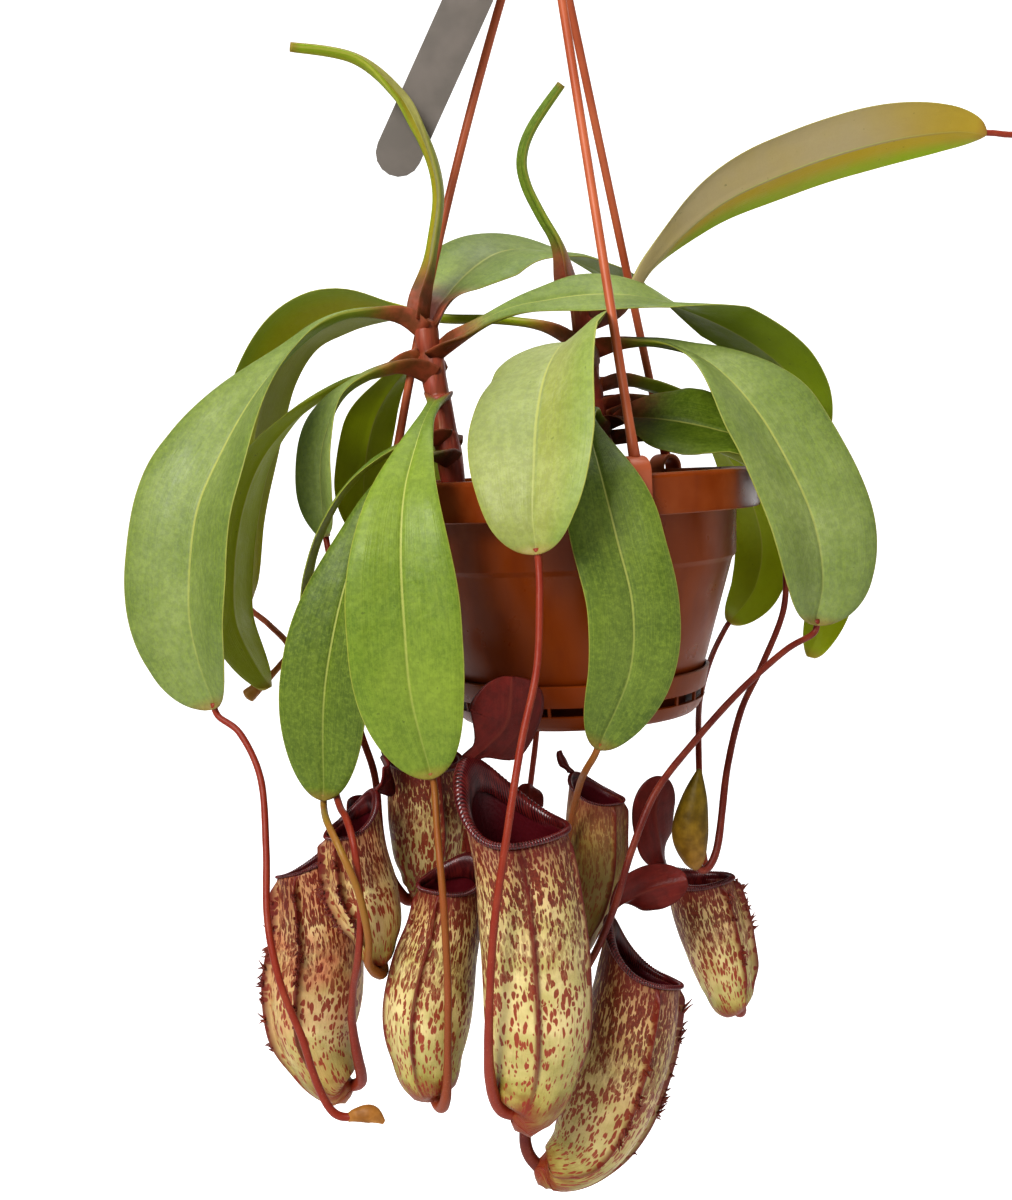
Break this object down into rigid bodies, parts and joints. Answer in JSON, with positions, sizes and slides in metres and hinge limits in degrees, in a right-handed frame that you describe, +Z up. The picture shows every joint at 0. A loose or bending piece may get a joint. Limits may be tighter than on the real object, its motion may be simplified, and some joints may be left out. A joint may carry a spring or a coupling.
{
  "type": "potted pitcher plant",
  "caption": "Tropical pitcher plant with arching leaves and hanging speckled pitchers, in a round plastic pot with a drip tray, rod hanger, top hook and blank label.",
  "frame": {"origin": "seat of the hook: the inner top of its crook, on the pot's axis, where the pot hangs", "axes": "+Z up along the pot's axis, +X to the right and +Y away from the side that the picture shows"},
  "size_m": [0.3706, 0.2068, 0.5091],
  "materials": {
    "terracotta_plastic": "dark red-brown moulded plastic with a soft gloss",
    "peat": "damp black peat with fibres",
    "label_plastic": "thin printed plastic, left bare",
    "stem": "smooth reddish stem",
    "leaf": "leathery, glossy green leaf with a darker midrib",
    "young_leaf": "fresh yellow-green to bronze leaf",
    "tendril": "smooth red to yellow-green stalk",
    "pitcher": "cream-green jug with maroon speckles and a dark ribbed lip",
    "bud": "closed olive or dried tan jug"
  },
  "bodies": {
    "root": {"bud_dry": "bud", "bud_upright": "bud", "drip_tray": "terracotta_plastic", "hanger_hook": "terracotta_plastic", "label": "label_plastic", "leaf_back_centre": "leaf", "leaf_back_left": "leaf", "leaf_back_low": "leaf", "leaf_back_middle": "leaf", "leaf_back_right": "leaf", "leaf_big_left": "leaf", "leaf_big_right": "leaf", "leaf_far_left": "leaf", "leaf_front_bright": "leaf", "leaf_front_centre": "leaf", "leaf_front_left": "leaf", "leaf_front_right": "leaf", "leaf_left_back": "leaf", "leaf_left_inner": "leaf", "leaf_left_low": "leaf", "leaf_left_under": "leaf", "leaf_over_right": "leaf", "leaf_right_dark": "leaf", "leaf_right_inner": "leaf", "leaf_right_small": "leaf", "leaf_up_right": "young_leaf", "leaf_young_left": "young_leaf", "leaf_young_right": "young_leaf", "pitcher_back": "pitcher", "pitcher_front": "pitcher", "pitcher_inner": "pitcher", "pitcher_left": "pitcher", "pitcher_left_front": "pitcher", "pitcher_middle": "pitcher", "pitcher_right": "pitcher", "pitcher_right_back": "pitcher", "pitcher_right_low": "pitcher", "pot": "terracotta_plastic", "rod_front": "terracotta_plastic", "rod_left": "terracotta_plastic", "rod_right": "terracotta_plastic", "soil": "peat", "stem_left": "stem", "stem_right": "stem", "tendril_back_middle": "tendril", "tendril_back_right": "tendril", "tendril_big_left": "tendril", "tendril_big_right": "tendril", "tendril_far_left": "tendril", "tendril_front_bright": "tendril", "tendril_front_centre": "tendril", "tendril_front_left": "tendril", "tendril_front_right": "tendril", "tendril_left_inner": "tendril", "tendril_left_low": "tendril", "tendril_right_dark": "tendril", "tendril_up_right": "tendril"}
  },
  "joints": []
}
